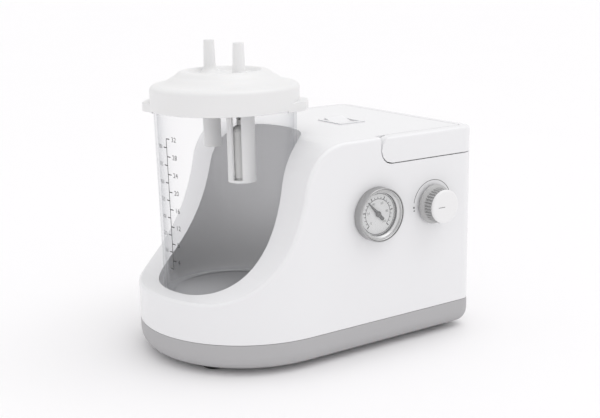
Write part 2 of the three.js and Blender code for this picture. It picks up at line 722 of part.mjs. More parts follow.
/** The rocker seen from the square end, about its pivot: two pads over a body with round ends. */
function rocker() {
  const radius = (SWITCH_LY - 6.5) / 2 - 0.55;
  const low = THREE.MathUtils.degToRad(-10);
  const high = THREE.MathUtils.degToRad(22);
  const shape = new THREE.Shape();
  shape.absarc(0, 0, radius, low, high);
  shape.quadraticCurveTo(radius / 3, 3.4, 0, 3.2);
  shape.quadraticCurveTo(-radius / 3, 3.4, -radius * Math.cos(high), radius * Math.sin(high));
  shape.absarc(0, 0, radius, Math.PI - high, Math.PI - low);
  shape.quadraticCurveTo(0, -9, radius * Math.cos(low), radius * Math.sin(low));
  const width = (SWITCH_LX - 6.5) / 2 - 0.5;
  return lengthwise(shape, -width, width);
}

const rockerMesh = piece('switch_rocker', rocker(), 'housing');
rockerMesh.position.set(SWITCH_X, SWITCH_Y, TOP_Z - ROCKER_DEPTH);
rockerMesh.rotation.x = THREE.MathUtils.degToRad(ROCKER_TILT);

// ---------------------------------------------------------------- pump and motor

const drive = new THREE.Group(); // its +Z axis is the motor's shaft and points to the rear
drive.position.set(MOTOR_X, 0, MOTOR_Z);
drive.rotation.x = -Math.PI / 2;
pump.add(drive);

const SHAFT_R = 3;
const CASE_Y = [-50, -16]; // pump case along the shaft
const CASE_TOP = 86;
const BORE_R = 14.2;
const ECCENTRIC_Y = [-36, -28];

const motorCan = revolve([
  [SHAFT_R + GAP, -15.7], [9, -15.7], [9, -12], [MOTOR_R - 2, -12], [MOTOR_R, -10], [MOTOR_R, 50],
  [MOTOR_R - 2, 52], [9, 52], [9, 56], [SHAFT_R + GAP, 56], [SHAFT_R + GAP, 48], [17, 46], [17, -6],
  [SHAFT_R + GAP, -8], [SHAFT_R + GAP, -15.7],
], 28);
piece('motor_case', motorCan, 'steel', drive);

const rotor = revolve([
  [0, -38], [SHAFT_R, -38], [SHAFT_R, -4], [16, -2], [16, 42], [SHAFT_R, 44], [SHAFT_R, 72], [0, 72],
], 32);
piece('motor_rotor', rotor, 'steel', drive);

/** The cooling fan: seven twisted blades on a hub. */
function coolingFan() {
  let fan = ring(SHAFT_R + GAP, 8, 60, 71, 28);
  for (let i = 0; i < 7; i++) {
    const blade = block([6, -0.8, -5], [27, 0.8, 5]).rotate([38, 0, 0]).translate([0, 0, 65.5]);
    fan = fan.add(blade.subtract(disc(7, 55, 75, 20)).rotate([0, 0, (i * 360) / 7]));
  }
  return fan;
}

piece('cooling_fan', coolingFan(), 'black', drive);

// The eccentric's centre lies one throw above the shaft; on this group +Y points down.
const eccentric = disc(8, ...ECCENTRIC_Y, 32)
  .translate([0, -THROW, 0])
  .subtract(disc(SHAFT_R + GAP, ECCENTRIC_Y[0] - 1, ECCENTRIC_Y[1] + 1, 20));
piece('eccentric', eccentric, 'steel', drive);

/** The connecting rod with the wobble piston's head, in the object's own frame. */
function pistonRod() {
  const centre = MOTOR_Z + THROW;
  const [near, far] = [ECCENTRIC_Y[0] + 1, ECCENTRIC_Y[1] - 1];
  const eye = toRear(ring(8 + GAP, 12.4, near, far, 32)).translate([0, 0, centre]);
  const shape = new THREE.Shape();
  shape.moveTo(-4.5, centre + 10.5);
  shape.quadraticCurveTo(-3, centre + 16, -3, centre + 21);
  shape.lineTo(3, centre + 21);
  shape.quadraticCurveTo(3, centre + 16, 4.5, centre + 10.5);
  const stem = crosswise(shape, near, far);
  const head = revolve([
    [0, centre + 20], [8, centre + 20], [12.2, centre + 22], [12.2, centre + 24.5], [9, centre + 25.5],
    [0, centre + 25.5],
  ], 32).translate([0, (near + far) / 2, 0]);
  return eye.add(stem).add(head).translate([MOTOR_X, 0, 0]);
}

piece('piston_rod', pistonRod(), 'aluminium');

/** The pump case: a block with a crank chamber open to the front and a cylinder bore above it. */
function pumpCase() {
  const middle = (ECCENTRIC_Y[0] + ECCENTRIC_Y[1]) / 2;
  const body = crosswise(rounded(48, CASE_TOP - 26, 6, MOTOR_X, (CASE_TOP + 26) / 2), ...CASE_Y);
  const chamber = rod(18, MOTOR_X, MOTOR_Z, CASE_Y[0] - 1, CASE_Y[1] - 5);
  const shaft = rod(SHAFT_R + GAP, MOTOR_X, MOTOR_Z, CASE_Y[0], CASE_Y[1] + 1, 20);
  const bore = disc(BORE_R, MOTOR_Z, CASE_TOP + 1, 32).translate([MOTOR_X, middle, 0]);
  return body.subtract(chamber).subtract(shaft).subtract(bore);
}

piece('pump_case', pumpCase(), 'aluminium');

/** The pump head: a finned block with its inlet and outlet stubs. */
function pumpHead() {
  const low = CASE_TOP + GAP;
  let head = block([MOTOR_X - 23, CASE_Y[0], low], [MOTOR_X + 23, CASE_Y[1], low + 5]);
  for (let i = 0; i < 7; i++) {
    const x = MOTOR_X - 22 + i * 7;
    head = head.add(block([x, CASE_Y[0], low + 4], [x + 2, CASE_Y[1], low + 11]));
  }
  for (const side of [-1, 1]) {
    head = head.add(disc(4, low + 4, low + 18, 16).translate([MOTOR_X + side * 14, -30, 0]));
  }
  return head;
}

piece('pump_head', pumpHead(), 'aluminium');

/** The bracket: a plate on rubber mounts with two saddles under the motor. */
function pumpBracket() {
  const [low, high] = [17, 19];
  let bracket = upright(rounded(84, 112, 6, MOTOR_X, 4), low, high);
  for (const y of [-4, 38]) {
    const saddle = block([MOTOR_X - 18, y, high - 1], [MOTOR_X + 18, y + 6, MOTOR_Z - 8]);
    const seat = rod(MOTOR_R + GAP, MOTOR_X, MOTOR_Z, -40, 90, 32);
    bracket = bracket.add(saddle.subtract(seat));
  }
  return bracket.add(block([MOTOR_X - 20, CASE_Y[0] + 4, high - 1], [MOTOR_X + 20, CASE_Y[1] - 4, 26 - GAP]));
}

piece('pump_bracket', pumpBracket(), 'steel');

const mountsAt = [[-34, -44], [34, -44], [-34, 52], [34, 52]];
mountsAt.forEach(([dx, dy], i) => {
  const low = FOOT_H + 2.6 + GAP;
  const mount = revolve([[0, low], [8, low], [7, 11.5], [8, 17 - GAP], [0, 17 - GAP]], 24);
  piece(`rubber_mount_${i + 1}`, mount, 'rubber').position.set(MOTOR_X + dx, dy, 0);
});

const muffler = disc(9, CASE_TOP + 24, CASE_TOP + 52, 28).translate([MOTOR_X + 14, -30, 0]);
piece('exhaust_muffler', muffler, 'black');

export default pump;
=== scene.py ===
import json
import math

import bmesh
import bpy
from mathutils import Matrix, Vector


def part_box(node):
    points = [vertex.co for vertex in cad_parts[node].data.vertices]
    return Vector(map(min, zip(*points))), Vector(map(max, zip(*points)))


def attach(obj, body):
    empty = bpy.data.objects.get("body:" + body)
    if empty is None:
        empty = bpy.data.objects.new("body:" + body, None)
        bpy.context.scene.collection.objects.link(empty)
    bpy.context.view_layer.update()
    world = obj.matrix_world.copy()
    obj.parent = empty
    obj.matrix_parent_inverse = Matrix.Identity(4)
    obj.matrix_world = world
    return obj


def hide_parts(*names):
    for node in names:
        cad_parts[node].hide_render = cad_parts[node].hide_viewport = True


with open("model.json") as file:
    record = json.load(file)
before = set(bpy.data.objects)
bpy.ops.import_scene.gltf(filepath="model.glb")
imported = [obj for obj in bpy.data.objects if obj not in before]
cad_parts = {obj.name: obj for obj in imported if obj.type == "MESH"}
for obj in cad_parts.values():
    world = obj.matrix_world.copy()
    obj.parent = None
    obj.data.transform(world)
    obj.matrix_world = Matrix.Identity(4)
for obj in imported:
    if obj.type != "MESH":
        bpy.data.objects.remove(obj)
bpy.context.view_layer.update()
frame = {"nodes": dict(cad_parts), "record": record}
nodes = frame["nodes"]
MM = 0.001  # metres in a millimetre

# ------------------------------------------------------------------ node trees


def link(tree, source, target):
    tree.links.new(source, target)


def node(tree, kind, **values):
    """A node with its sockets set: a socket's name with _ for spaces, or a property of the node."""
    made = tree.nodes.new(kind)
    for key, value in values.items():
        socket = made.inputs.get(key.replace("_", " ").title()) or made.inputs.get(key)
        if socket is not None:
            socket.default_value = value
        else:
            setattr(made, key, value)
    return made


def noise(tree, scale, detail=3.0, stretch=None):
    """Noise over the object's own coordinates, scale in cells per metre."""
    coordinates = tree.nodes.new("ShaderNodeTexCoord").outputs["Object"]
    if stretch is not None:
        mapping = tree.nodes.new("ShaderNodeMapping")
        mapping.inputs["Scale"].default_value = stretch
        link(tree, coordinates, mapping.inputs["Vector"])
        coordinates = mapping.outputs["Vector"]
    made = node(tree, "ShaderNodeTexNoise", scale=scale, detail=detail)
    link(tree, coordinates, made.inputs["Vector"])
    return made.outputs["Fac"]


NOISE_LOW, NOISE_HIGH = 0.3, 0.7  # most of a noise lies between these


def ranged(tree, factor, low, high):
    """Noise brought to a range of values."""
    made = node(tree, "ShaderNodeMapRange", to_min=low, to_max=high)
    made.inputs["From Min"].default_value = NOISE_LOW
    made.inputs["From Max"].default_value = NOISE_HIGH
    link(tree, factor, made.inputs["Value"])
    return made.outputs["Result"]


def blended(tree, factor, first, second):
    """A colour between two, by a factor."""
    made = tree.nodes.new("ShaderNodeMix")
    made.data_type = "RGBA"
    for socket, value in ((6, first), (7, second)):
        made.inputs[socket].default_value = (*value, 1.0)
    link(tree, factor, made.inputs[0])
    return made.outputs[2]


def bumped(tree, height, strength, distance):
    """A bumped normal from a height."""
    made = node(tree, "ShaderNodeBump", strength=strength, distance=distance)
    link(tree, height, made.inputs["Height"])
    return made.outputs["Normal"]


def fresh(name):
    """An empty material with a Principled shader; gives the material, its tree and the shader."""
    material = bpy.data.materials.new(name)
    material.use_nodes = True
    tree = material.node_tree
    return material, tree, tree.nodes["Principled BSDF"]


# ------------------------------------------------------------------ materials


# How fine the marks of a surface are, in noise cells per metre.
FLOW_CELLS = 14
GLOSS_CELLS = 260
TEXTURE_CELLS = 2600
RUBBER_CELLS = 900
TOOL_CELLS = 700
CAST_CELLS = 1300
INK_CELLS = 1800
PAPER_CELLS = 3
GLOSS_SPREAD = 0.05


def grey(value, tint=(1.0, 1.0, 1.0)):
    """A grey, or a colour made darker: the value times a tint."""
    return tuple(value * t for t in tint)


def mottled(tree, shader, factor, first, second):
    """Gives a shader a base colour that wanders between two."""
    link(tree, blended(tree, ranged(tree, factor, 0, 1), first, second), shader.inputs["Base Color"])


def moulded(name, colour, roughness, spread=0.03, coat=0.0, soft=0.0):
    """Injection-moulded plastic: faint flow marks in the colour, a fine matt texture, uneven gloss."""
    material, tree, shader = fresh(name)
    mottled(tree, shader, noise(tree, FLOW_CELLS, 2), grey(1 - spread, colour), colour)
    gloss = ranged(tree, noise(tree, GLOSS_CELLS, 4), roughness - GLOSS_SPREAD, roughness + GLOSS_SPREAD)
    link(tree, gloss, shader.inputs["Roughness"])
    link(tree, bumped(tree, noise(tree, TEXTURE_CELLS, 2), 0.12, 0.02 * MM), shader.inputs["Normal"])
    shader.inputs["Specular IOR Level"].default_value = 0.42
    shader.inputs["Coat Weight"].default_value = coat
    shader.inputs["Coat Roughness"].default_value = 0.25
    if soft:
        shader.inputs["Subsurface Weight"].default_value = soft
        shader.inputs["Subsurface Radius"].default_value = (1.0, 0.95, 0.9)
        shader.inputs["Subsurface Scale"].default_value = 1.2 * MM
    return material


def rubber(name, colour, roughness):
    """Soft rubber: matt, with a grainy skin and a faint dusting of lighter specks."""
    material, tree, shader = fresh(name)
    grain = noise(tree, RUBBER_CELLS, 6)
    mottled(tree, shader, grain, colour, tuple(c * 1.35 + 0.01 for c in colour))
    link(tree, ranged(tree, noise(tree, 300, 3), roughness - 0.08, 0.95), shader.inputs["Roughness"])
    link(tree, bumped(tree, grain, 0.3, 0.05 * MM), shader.inputs["Normal"])
    return material


def metal(name, colour, roughness, stretch=(1, 1, 14), spread=0.12):
    """Machined or drawn metal: fine marks along one way, in the gloss and the height."""
    material, tree, shader = fresh(name)
    marks = noise(tree, TOOL_CELLS, 4, stretch)
    mottled(tree, shader, marks, grey(1 - spread, colour), colour)
    link(tree, ranged(tree, marks, roughness - 0.07, roughness + 0.09), shader.inputs["Roughness"])
    link(tree, bumped(tree, marks, 0.12, 0.02 * MM), shader.inputs["Normal"])
    shader.inputs["Metallic"].default_value = 1.0
    return material


def cast(name, colour):
    """Cast aluminium with a pebbled skin."""
    material, tree, shader = fresh(name)
    skin = noise(tree, CAST_CELLS, 6)
    mottled(tree, shader, skin, grey(0.75, colour), colour)
    link(tree, ranged(tree, skin, 0.42, 0.6), shader.inputs["Roughness"])
    link(tree, bumped(tree, skin, 0.5, 0.08 * MM), shader.inputs["Normal"])
    shader.inputs["Metallic"].default_value = 1.0
    return material


EDGE_POWER = 3.0  # how late the wall's own colour sets in towards its edge
GLARE_POWER = 5.0
GLARE_SHARE = 0.55  # how much of the glossy skin shows edge on
FACE_SHARE = 0.012  # and face on


def clear(name, tint, edge, roughness):
    """Clear plastic: see-through face on, and greyer and glossier where the wall is met edge on."""
    material = bpy.data.materials.new(name)
    material.use_nodes = True
    tree = material.node_tree
    tree.nodes.remove(tree.nodes["Principled BSDF"])
    output = tree.nodes["Material Output"]
    facing = node(tree, "ShaderNodeLayerWeight", blend=0.5)

    def risen(power, scale, base):
        """A value that rises from base, face on, by scale, edge on."""
        curve = node(tree, "ShaderNodeMath", operation="POWER")
        curve.inputs[1].default_value = power
        link(tree, facing.outputs["Facing"], curve.inputs[0])
        spread = node(tree, "ShaderNodeMath", operation="MULTIPLY_ADD")
        spread.inputs[1].default_value = scale
        spread.inputs[2].default_value = base
        link(tree, curve.outputs[0], spread.inputs[0])
        return spread.outputs[0]

    through = tree.nodes.new("ShaderNodeBsdfTransparent")
    link(tree, blended(tree, risen(EDGE_POWER, 1.0, 0.0), tint, edge), through.inputs["Color"])
    skin = node(tree, "ShaderNodeBsdfPrincipled")
    skin.inputs["Base Color"].default_value = (0.9, 0.91, 0.93, 1.0)
    link(tree, ranged(tree, noise(tree, 90, 3), roughness, roughness + 0.05), skin.inputs["Roughness"])
    link(tree, bumped(tree, noise(tree, 60, 2), 0.05, 0.3 * MM), skin.inputs["Normal"])
    mix = tree.nodes.new("ShaderNodeMixShader")
    link(tree, risen(GLARE_POWER, GLARE_SHARE, FACE_SHARE), mix.inputs[0])
    link(tree, through.outputs[0], mix.inputs[1])
    link(tree, skin.outputs[0], mix.inputs[2])
    link(tree, mix.outputs[0], output.inputs["Surface"])
    return material


def printed(name, colour, gap=0.35):
    """Screen-printed ink: thin, a little uneven in density."""
    material, tree, shader = fresh(name)
    density = noise(tree, INK_CELLS, 3)
    mottled(tree, shader, density, colour, tuple(c + (1 - c) * 0.08 for c in colour))
    link(tree, ranged(tree, density, gap, gap + 0.15), shader.inputs["Roughness"])
    return material


MATERIALS = {
    "housing_white": moulded("white_abs", grey(0.88, (1.0, 0.996, 1.0)), 0.36, coat=0.06),
    "tray_grey": moulded("grey_abs", grey(0.56, (1.0, 0.985, 0.995)), 0.44, spread=0.05),
    "foot_rubber": rubber("black_rubber", grey(0.03), 0.8),
    "jar_clear": clear("jar_plastic", (0.992, 0.992, 0.993), (0.86, 0.865, 0.875), 0.06),
    "lens_clear": clear("lens_plastic", (0.99, 0.99, 0.99), (0.9, 0.9, 0.92), 0.03),
    "lid_white": moulded("lid_polypropylene", grey(0.84, (1.0, 1.0, 1.0)), 0.34, soft=0.12),
    "silicone": moulded("silicone", grey(0.68, (1.0, 1.0, 0.98)), 0.62, soft=0.2),
    "grip_grey": moulded("knob_grey", grey(0.5), 0.42),
    "gauge_chrome": metal("gauge_metal", grey(0.5), 0.34, stretch=(1, 14, 1)),
    "gauge_face": printed("dial_enamel", grey(0.58), 0.5),
    "black_plastic": moulded("black_plastic", grey(0.02), 0.4, spread=0.3),
    "steel": metal("steel", grey(0.55), 0.3),
    "cast_aluminium": cast("cast_aluminium", grey(0.6)),
    "valve_brass": metal("brass", (0.62, 0.44, 0.18), 0.28),
}
INK = printed("black_ink", grey(0.012), 0.4)
NEEDLE_PAINT = printed("needle_paint", grey(0.004), 0.6)
for dark in (INK, NEEDLE_PAINT):
    dark.node_tree.nodes["Principled BSDF"].inputs["Specular IOR Level"].default_value = 0.12
PALE_INK = printed("grey_ink", grey(0.2), 0.4)
RING_FACE = metal("bezel_face", grey(0.78), 0.42, stretch=(1, 14, 1), spread=0.06)

for entry in frame["record"]["materials"]:
    for name in entry.get("nodes", []):
        mesh = nodes[name].data
        mesh.materials.clear()
        mesh.materials.append(MATERIALS[entry["slot"]])

# ------------------------------------------------------------------ surfaces of the CAD nodes

WELD = 0.002 * MM
SHARP_ANGLE = 34  # degrees between two faces, from which their edge stays sharp


def smoother(limit):
    """Welds the facets, drops their stored normals, and rounds the shading below an angle."""
    group = bpy.data.node_groups.new("round_shading", "GeometryNodeTree")
    group.interface.new_socket("Geometry", in_out="INPUT", socket_type="NodeSocketGeometry")
    group.interface.new_socket("Geometry", in_out="OUTPUT", socket_type="NodeSocketGeometry")
    make = group.nodes.new
    start, end = make("NodeGroupInput"), make("NodeGroupOutput")
    weld = node(group, "GeometryNodeMergeByDistance", distance=WELD)
    plain = make("GeometryNodeRemoveAttribute")
    plain.inputs["Name"].default_value = "custom_normal"
    faces = make("GeometryNodeSetShadeSmooth")
    edges = make("GeometryNodeSetShadeSmooth")
    edges.domain = "EDGE"
    edges.inputs["Shade Smooth"].default_value = False
    soft = make("GeometryNodeSetShadeSmooth")
    soft.domain = "EDGE"
    angle = make("GeometryNodeInputMeshEdgeAngle")
    sharp = node(group, "FunctionNodeCompare", data_type="FLOAT", operation="GREATER_THAN")
    sharp.inputs[1].default_value = math.radians(limit)
    link(group, angle.outputs["Unsigned Angle"], sharp.inputs[0])
    link(group, sharp.outputs[0], edges.inputs["Selection"])
    chain = [start.outputs[0], plain, weld, faces, soft, edges]
    previous = chain[0]
    for step in chain[1:]:
        link(group, previous, step.inputs[0])
        previous = step.outputs[0]
    link(group, previous, end.inputs[0])
    return group


ROUND = smoother(SHARP_ANGLE)


def rounded_shading(obj):
    """Shades an object round between its sharp edges, flat faces staying flat."""
    shade = obj.modifiers.new("round_shading", "NODES")
    shade.node_group = ROUND
    even = obj.modifiers.new("even_normals", "WEIGHTED_NORMAL")
    even.keep_sharp = True
    even.weight = 60


for cad in nodes.values():
    rounded_shading(cad)

# ------------------------------------------------------------------ mesh helpers

# Facets round a turned piece.
WIDE_TURN = 144
GAUGE_TURN = 128
CAP_TURN = 96
TUBE_TURN = 48
HUB_TURN = 32


def placed(name, vertices, faces, material, body, stands_for=(), shaded=True):
    """A new piece from its points in the row frame."""
    mesh = bpy.data.meshes.new(name)
    mesh.from_pydata([tuple(v) for v in vertices], [], faces)
    mesh.validate()
    mesh.materials.append(material)
    obj = bpy.data.objects.new(name, mesh)
    bpy.context.scene.collection.objects.link(obj)
    bm = bmesh.new()
    bm.from_mesh(mesh)
    bmesh.ops.remove_doubles(bm, verts=bm.verts, dist=0.001 * MM)
    bmesh.ops.recalc_face_normals(bm, faces=bm.faces)
    bm.to_mesh(mesh)
    bm.free()
    if shaded:
        rounded_shading(obj)
    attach(obj, body)
    if stands_for:
        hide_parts(*stands_for)


def turned(profile, segments, frame_of=Matrix.Identity(4)):
    """A closed profile of (radius, height) in millimetres, turned about +Z, as points and faces."""
    vertices, faces = [], []
    count = len(profile)
    for i in range(segments):
        angle = 2 * math.pi * i / segments
        for radius, height in profile:
            point = Vector((radius * math.cos(angle), radius * math.sin(angle), height)) * MM
            vertices.append(frame_of @ point)
    for i in range(segments):
        for j in range(count):
            a, b = i * count + j, i * count + (j + 1) % count
            c, d = (i + 1) % segments * count + (j + 1) % count, (i + 1) % segments * count + j
            if profile[j][0] == 0 and profile[(j + 1) % count][0] == 0:
                continue
            faces.append((a, d, c, b))
    return vertices, faces


def bezier(start, first, second, end, steps):
    """Points along a cubic curve, without its start."""
    corners = (start, first, second, end)
    points = []
    for i in range(1, steps + 1):
        t = i / steps
        weights = ((1 - t) ** 3, 3 * t * (1 - t) ** 2, 3 * t * t * (1 - t), t ** 3)
        points.append(tuple(sum(w * p[k] for w, p in zip(weights, corners)) for k in (0, 1)))
    return points


def lifted(place, height):
    """A flat mark's surface: gives a point from X and Z in mm about a place, at a height over it."""
    return lambda x, z: place @ (Vector((x, z, height)) * MM)


def front(x, z, face_y):
    """The frame of something on the front wall: its own +Z points out of the wall, at X and Z in mm."""
    return Matrix.Translation((x * MM, face_y, z * MM)) @ Matrix.Rotation(math.pi / 2, 4, "X")


# ------------------------------------------------------------------ places taken from the frame

jar_low, jar_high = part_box("collection_jar")
jar_axis = Vector(((jar_low.x + jar_high.x) / 2, 0, 0))
jar_place = Matrix.Translation(jar_axis)
bezel_low, bezel_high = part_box("gauge_bezel")
GAUGE_X = (bezel_low.x + bezel_high.x) / 2 / MM
GAUGE_Z = (bezel_low.z + bezel_high.z) / 2 / MM
cap_low, cap_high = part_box("knob_cap")
KNOB_X = (cap_low.x + cap_high.x) / 2 / MM
KNOB_Z = (cap_low.z + cap_high.z) / 2 / MM
WALL_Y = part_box("upper_housing")[0].y

# ------------------------------------------------------------------ the jar and its printed scale

JAR_LOW, JAR_HIGH = jar_low.z / MM, jar_high.z / MM
JAR_TOP_R = (jar_high.x - jar_low.x) / 2 / MM
JAR_TAPER = 1.6
JAR_FOOT_R = JAR_TOP_R - JAR_TAPER
JAR_WALL = 2.0
HEEL = 6.0  # the height of the rounded edge at the foot
BASE_HOLLOW = 2.0  # the base is this much higher inside its ring
BASE_TOP = 4.0


def jar_radius(z):
    """The jar's outer radius at a height, above its heel."""
    return JAR_FOOT_R + (JAR_TOP_R - JAR_FOOT_R) * (z - JAR_LOW - HEEL) / (JAR_HIGH - JAR_LOW - HEEL)


def jar_profile():
    """The jar in section: base, rounded heel, tapered wall, softened lip, and back down inside."""
    low, inner, ring = JAR_LOW, JAR_FOOT_R - JAR_WALL, JAR_FOOT_R - HEEL
    foot, brim = JAR_FOOT_R, JAR_HIGH - 0.5
    outline = [(0, low + BASE_HOLLOW), (ring - 3, low + BASE_HOLLOW), (ring - 2.2, low + 1.6), (ring, low)]
    outline += bezier((ring, low), (foot - 2, low), (foot, low + 2), (foot, low + HEEL), 8)
    outline += [(jar_radius(brim), brim), (JAR_TOP_R - 0.4, JAR_HIGH), (JAR_TOP_R - JAR_WALL + 0.4, JAR_HIGH)]
    outline += [(jar_radius(brim) - JAR_WALL, brim), (inner, low + HEEL)]
    outline += bezier((inner, low + HEEL), (inner, low + 4.4), (inner - 1.5, low + BASE_TOP),
                      (inner - 5, low + BASE_TOP), 6)
    outline += [(0, low + BASE_TOP)]
    return outline


vertices, faces = turned(jar_profile(), WIDE_TURN, jar_place)
placed("jar_shell", vertices, faces, MATERIALS["jar_clear"], "jar", ("collection_jar",))

SCALE_TURN = math.radians(186.4)  # where the line stands round the jar
PRINT_LIFT = 0.06


def on_jar(across, z):
    """A point of the print: across in mm along the jar's wall, to the right as seen from outside."""
    radius = jar_radius(z) + PRINT_LIFT
    angle = SCALE_TURN + across / JAR_TOP_R
    return jar_axis + Vector((radius * math.cos(angle), radius * math.sin(angle), z)) * MM


def strip(vertices, faces, left, right, low, high, steps, at):
    """Adds a flat mark between two sides and two heights, bent to a surface."""
    start = len(vertices)
    for i in range(steps + 1):
        across = left + (right - left) * i / steps
        vertices += [at(across, low), at(across, high)]
    for i in range(steps):
        k = start + 2 * i
        faces.append((k, k + 2, k + 3, k + 1))


def numeral(vertices, faces, text, size, x, y, at):
    """Adds a number of the built-in typeface, its left end and middle height at x and y."""
    curve = bpy.data.curves.new("numeral", "FONT")
    curve.body = text
    curve.size = size
    curve.resolution_u = 3
    holder = bpy.data.objects.new("numeral", curve)
    bpy.context.scene.collection.objects.link(holder)
    bpy.context.view_layer.update()
    mesh = bpy.data.meshes.new_from_object(holder)
    middle = (min(v.co.y for v in mesh.vertices) + max(v.co.y for v in mesh.vertices)) / 2
    start = len(vertices)
    vertices += [at(x + v.co.x, y + v.co.y - middle) for v in mesh.vertices]
    faces += [tuple(start + k for k in f.vertices) for f in mesh.polygons]
    bpy.data.objects.remove(holder)
    bpy.data.curves.remove(curve)
    bpy.data.meshes.remove(mesh)


MARK_STEP = 13.4  # between two marks on the right
MARK_TOP = 171.0
MARK_W = 0.75
MARK_LENGTH = 4.2
OUNCES_TOP, OUNCES_STEP, OUNCES_MARKS = 32, 4, 8
CUBIC_TOP, CUBIC_STEP = 900, 125
OUNCES_SIZE, OUNCES_LEFT = 5.2, 6.2  # the numbers' size, and their left end from the line
CUBIC_SIZE, CUBIC_LEFT = 4.2, -13.2


def jar_print():
    """The jar's scale: an upright line, with fluid ounces on its right and cubic centimetres left."""
    vertices, faces = [], []
    bottom = MARK_TOP - (OUNCES_MARKS - 0.5) * MARK_STEP
    half = MARK_W / 2
    strip(vertices, faces, -half, half, bottom, MARK_TOP, 1, on_jar)
    for i in range(OUNCES_MARKS):
        right = MARK_TOP - i * MARK_STEP
        left = right - MARK_STEP / 2
        strip(vertices, faces, 0, MARK_LENGTH, right - half, right + half, 3, on_jar)
        strip(vertices, faces, -MARK_LENGTH, 0, left - half, left + half, 3, on_jar)
        ounces = str(OUNCES_TOP - OUNCES_STEP * i)
        numeral(vertices, faces, ounces, OUNCES_SIZE, OUNCES_LEFT, right, on_jar)
        if i < OUNCES_MARKS - 1:
            cubic = str(CUBIC_TOP - CUBIC_STEP * i)
            numeral(vertices, faces, cubic, CUBIC_SIZE, CUBIC_LEFT, left, on_jar)
    return vertices, faces


vertices, faces = jar_print()
placed("jar_scale", vertices, faces, INK, "jar", shaded=False)

# ------------------------------------------------------------------ the lid

LID = MATERIALS["lid_white"]
SKIRT_R = JAR_TOP_R + 2.3
SKIRT_Z = JAR_HIGH - 11.9
SHOULDER_Z = SKIRT_Z + 14.9
RECESS_Z = SKIRT_Z + 25.5
RIM_Z = RECESS_Z + 3.3
LID_WALL = 2.2
CONNECTOR_Y = 22.5
CONNECTOR_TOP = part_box("jar_lid")[1].z / MM
BORE_R = 1.9


def lid_profile():
    """The lid in section: skirt, shoulder, a slope up to the rim, and the flat inside the rim."""
    inner = SKIRT_R - LID_WALL
    ceiling = RECESS_Z - LID_WALL
    step, foot = (51, 208), (39.4, 213)  # where the shoulder ends, and where the rise to the rim begins
    outline = [(inner + 0.4, SKIRT_Z), (SKIRT_R - 0.4, SKIRT_Z), (SKIRT_R, SKIRT_Z + 0.4)]
    outline += [(SKIRT_R, SHOULDER_Z)]
    outline += bezier((SKIRT_R, SHOULDER_Z), (SKIRT_R, SHOULDER_Z + 2.8), (54.6, 207.6), step, 9)
    outline += bezier(step, (44, 208.9), (42.5, 211.6), foot, 9)
    outline += bezier(foot, (36.5, 214.3), (35, RIM_Z), (31, RIM_Z), 9)
    outline += [(29.2, RIM_Z), (28.5, RIM_Z - 0.25), (27.9, RIM_Z - 0.9), (26.6, RECESS_Z + 0.9)]
    outline += [(26.1, RECESS_Z + 0.25), (25.4, RECESS_Z), (0, RECESS_Z), (0, ceiling), (27, ceiling)]
    outline += [(30, 215.2), (33, 214.4), (38, 210.8), (50, 205.7), (inner, 203.6)]
    outline += [(inner, SKIRT_Z + 0.4)]
    return outline


vertices, faces = turned(lid_profile(), WIDE_TURN, jar_place)
placed("lid_shell", vertices, faces, LID, "lid", ("jar_lid",))


def connector_profile():
    """A hollow tapered tube with a flared root; the bore is open at the top."""
    root, top = RECESS_Z - 0.4, CONNECTOR_TOP
    outline = [(BORE_R, root), (9.4, root)]
    outline += bezier((9.4, root), (7.4, root + 0.7), (5.4, root + 1.6), (4.75, root + 5.2), 8)
    outline += [(4.15, top - 0.7), (4.02, top - 0.25), (3.7, top), (2.5, top), (2.15, top - 0.15)]
    outline += [(1.95, top - 0.5), (BORE_R, top - 1)]
    return outline


def connector_axis(side):
    """The frame of one of the two connectors' axes, -1 front and 1 rear, at the height of the floor."""
    return jar_place @ Matrix.Translation((0, side * CONNECTOR_Y * MM, 0))


def tube_profile(radius, low):
    """A plain thick tube hanging from the lid's flat down to a height."""
    high = RECESS_Z - LID_WALL + 0.2
    return [(BORE_R, low + 0.3), (BORE_R + 0.3, low), (radius - 0.5, low), (radius, low + 0.5),
            (radius, high), (BORE_R, high)]


for name, side in (("lid_connector_patient", -1), ("lid_connector_pump", 1)):
    vertices, faces = turned(connector_profile(), TUBE_TURN, connector_axis(side))
    placed(name, vertices, faces, LID, "lid", ("jar_lid",))

for name, side, radius, low in (("lid_valve_boss", -1, 9, 203), ("lid_downspout", 1, 7, 156)):
    vertices, faces = turned(tube_profile(radius, low), TUBE_TURN, connector_axis(side))
    placed(name, vertices, faces, LID, "lid", ("jar_lid",))

EAR_TURN = 140  # the way to the rear ear; the other lies opposite
EAR_ROOT_R = 50.6
EAR_TIP_R = 63.2


